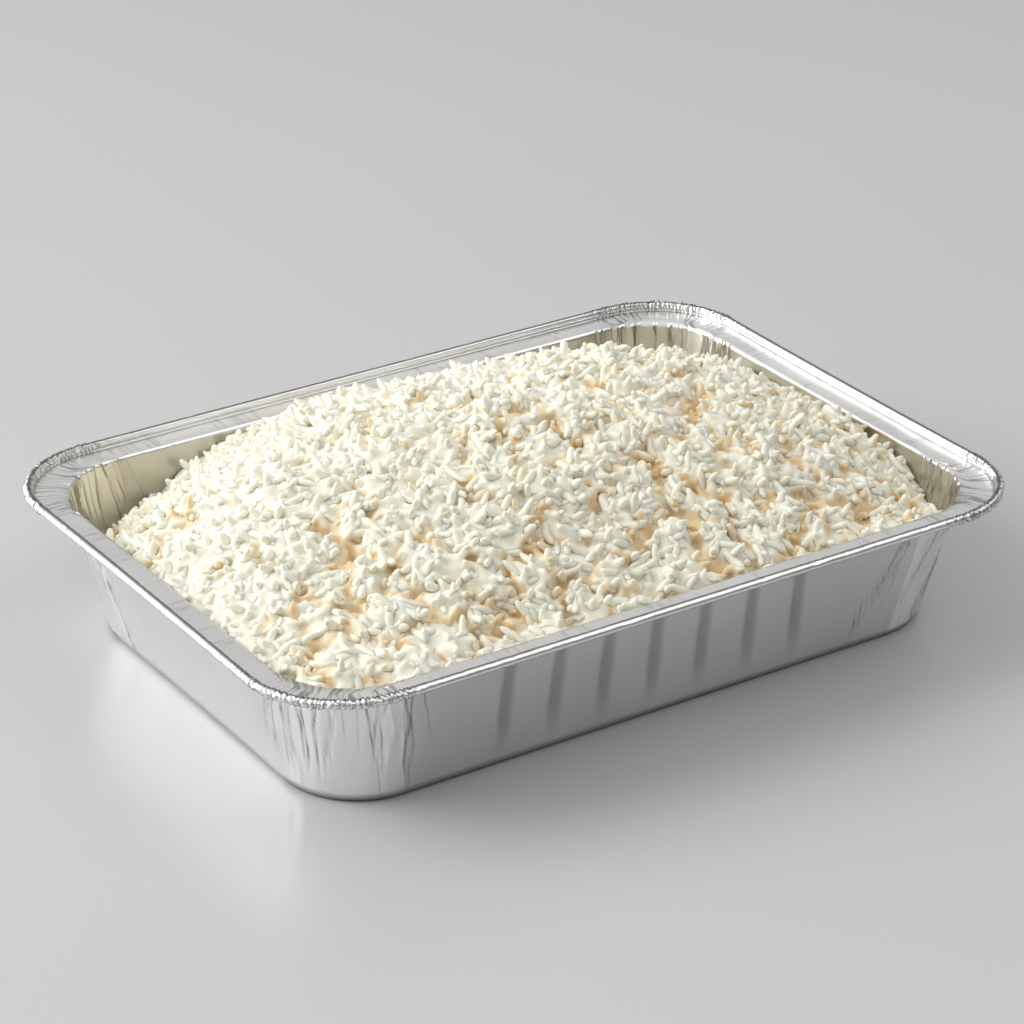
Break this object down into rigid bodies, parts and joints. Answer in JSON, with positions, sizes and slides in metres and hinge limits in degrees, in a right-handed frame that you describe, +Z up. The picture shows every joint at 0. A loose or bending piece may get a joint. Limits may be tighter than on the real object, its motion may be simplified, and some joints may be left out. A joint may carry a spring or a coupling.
{
  "type": "foil tray meal",
  "caption": "Oblong aluminium foil tray with drafted fluted walls, a flat flange and a rolled bead, heaped with plain cooked long-grain rice.",
  "frame": {"origin": "centre of the tray's flat underside, where it rests", "axes": "+X along the tray's length, +Y along its width, +Z up"},
  "size_m": [0.3346, 0.2476, 0.0874],
  "materials": {
    "foil_tray": "bright satin pressed foil",
    "rice": "moist cooked rice, cream white"
  },
  "bodies": {
    "root": {"foil_tray": "foil_tray", "rice": "rice"}
  },
  "joints": []
}
